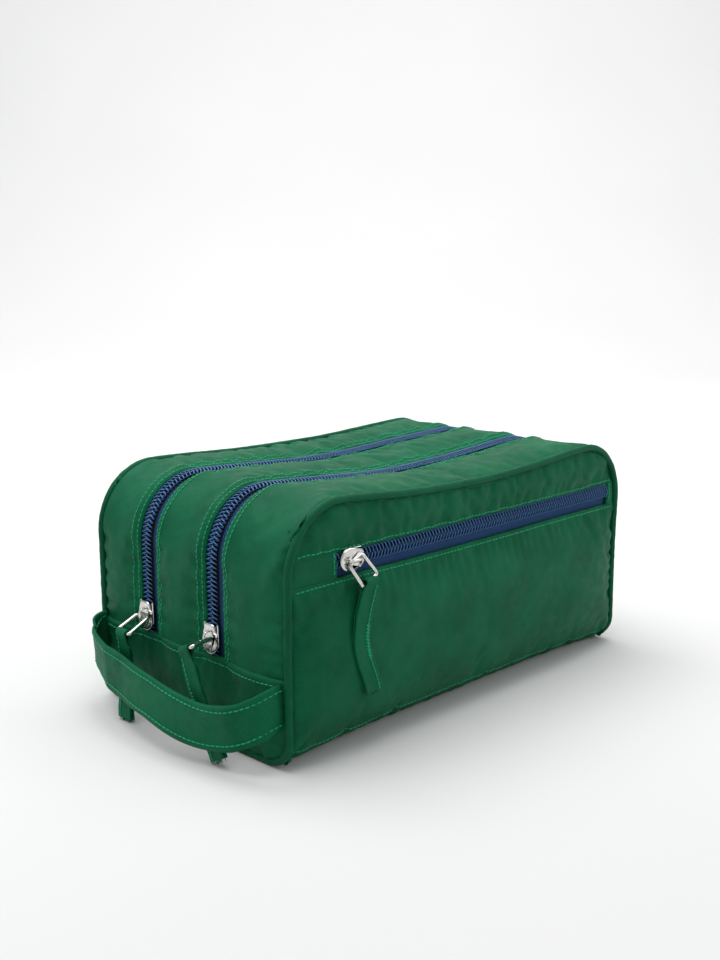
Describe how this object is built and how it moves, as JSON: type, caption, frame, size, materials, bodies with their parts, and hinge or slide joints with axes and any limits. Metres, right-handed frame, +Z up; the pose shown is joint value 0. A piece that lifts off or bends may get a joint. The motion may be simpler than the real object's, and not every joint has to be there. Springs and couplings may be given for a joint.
{
  "type": "toiletry bag",
  "caption": "Soft boxy toiletry bag with zips over its rounded top, a zipped front pocket, piped seams and a fabric strap handle on one end.",
  "frame": {"origin": "centre of the bag's base, on the surface it stands on", "axes": "+X along the bag, away from the handle's end; -Y towards the pocket; +Z up"},
  "size_m": [0.2954, 0.1575, 0.127],
  "materials": {
    "outer_fabric": "dark green coated nylon, faint satin sheen",
    "piping_fabric": "dark green nylon over a soft cord",
    "strap_fabric": "dark green nylon, folded and topstitched",
    "lining_fabric": "thin plain lining",
    "zip_tape": "navy woven tape",
    "zip_coil": "navy nylon coil",
    "nickel": "polished nickel plate"
  },
  "bodies": {
    "bag": {"front_upper_panel": "outer_fabric", "pocket_panel": "outer_fabric", "pocket_backing": "lining_fabric", "pocket_end_tab_left": "outer_fabric", "pocket_end_tab_right": "outer_fabric", "back_panel": "outer_fabric", "bottom_panel": "outer_fabric", "left_end_patch": "outer_fabric", "right_end_patch": "outer_fabric", "gusset_front_strip": "outer_fabric", "gusset_middle_strip": "outer_fabric", "gusset_rear_strip": "outer_fabric", "divider": "lining_fabric", "front_lining": "lining_fabric", "rear_lining": "lining_fabric", "seam_piping": "piping_fabric", "front_zip_tape_front": "zip_tape", "front_zip_tape_back": "zip_tape", "front_zip_coil_front": "zip_coil", "front_zip_coil_back": "zip_coil", "rear_zip_tape_front": "zip_tape", "rear_zip_tape_back": "zip_tape", "rear_zip_coil_front": "zip_coil", "rear_zip_coil_back": "zip_coil", "pocket_zip_tape_upper": "zip_tape", "pocket_zip_tape_lower": "zip_tape", "pocket_zip_coil_upper": "zip_coil", "pocket_zip_coil_lower": "zip_coil"},
    "front_slider": {"front_zip_slider": "nickel"},
    "front_pull_ring": {"front_zip_pull_ring": "nickel"},
    "front_pull_tab": {"front_zip_pull_tab": "outer_fabric"},
    "rear_slider": {"rear_zip_slider": "nickel"},
    "rear_pull_ring": {"rear_zip_pull_ring": "nickel"},
    "rear_pull_tab": {"rear_zip_pull_tab": "outer_fabric"},
    "pocket_slider": {"pocket_zip_slider": "nickel"},
    "pocket_pull_ring": {"pocket_zip_pull_ring": "nickel"},
    "pocket_pull_tab": {"pocket_zip_pull_tab": "outer_fabric"},
    "handle": {"handle": "strap_fabric"}
  },
  "joints": [
    {"name": "front_slide", "type": "slide", "parent": "bag", "child": "front_slider", "axis": [0, 0, 1], "range_m": [0, 0.03]},
    {"name": "front_ring_lift", "type": "hinge", "parent": "front_slider", "child": "front_pull_ring", "pos_m": [-0.137, -0.019, 0.053], "axis": [0, 0.8988, -0.4384], "range_deg": [0, 60]},
    {"name": "front_tab_hang", "type": "hinge", "parent": "front_pull_ring", "child": "front_pull_tab", "pos_m": [-0.1505, -0.01973, 0.05151], "axis": [0, 0.8988, -0.4384], "range_deg": [-60, 0]},
    {"name": "rear_slide", "type": "slide", "parent": "bag", "child": "rear_slider", "axis": [0, 0, 1], "range_m": [0, 0.03]},
    {"name": "rear_ring_lift", "type": "hinge", "parent": "rear_slider", "child": "rear_pull_ring", "pos_m": [-0.137, 0.0335, 0.053], "axis": [0, 1, 0], "range_deg": [0, 60]},
    {"name": "rear_tab_hang", "type": "hinge", "parent": "rear_pull_ring", "child": "rear_pull_tab", "pos_m": [-0.14933, 0.0335, 0.04725], "axis": [0, 1, 0], "range_deg": [-60, 0]},
    {"name": "pocket_slide", "type": "slide", "parent": "bag", "child": "pocket_slider", "axis": [1, 0, 0], "range_m": [0, 0.208]},
    {"name": "pocket_ring_lift", "type": "hinge", "parent": "pocket_slider", "child": "pocket_pull_ring", "pos_m": [-0.09405, -0.077, 0.0955], "axis": [-0.848, 0, -0.5299], "range_deg": [0, 60]},
    {"name": "pocket_tab_hang", "type": "hinge", "parent": "pocket_pull_ring", "child": "pocket_pull_tab", "pos_m": [-0.08706, -0.08029, 0.08431], "axis": [-0.848, 0, -0.5299], "range_deg": [-60, 0]},
    {"name": "handle_swing", "type": "hinge", "parent": "bag", "child": "handle", "pos_m": [-0.133, 0, 0.0345], "axis": [0, 0.9994, 0.0342], "range_deg": [-5, 25], "stiffness_Nm_per_rad": 0.05, "springref_deg": 0.69}
  ],
  "couplings": [
    {"joint": "front_tab_hang", "follows": "front_ring_lift", "ratio": -1},
    {"joint": "rear_tab_hang", "follows": "rear_ring_lift", "ratio": -1},
    {"joint": "pocket_tab_hang", "follows": "pocket_ring_lift", "ratio": -1}
  ]
}
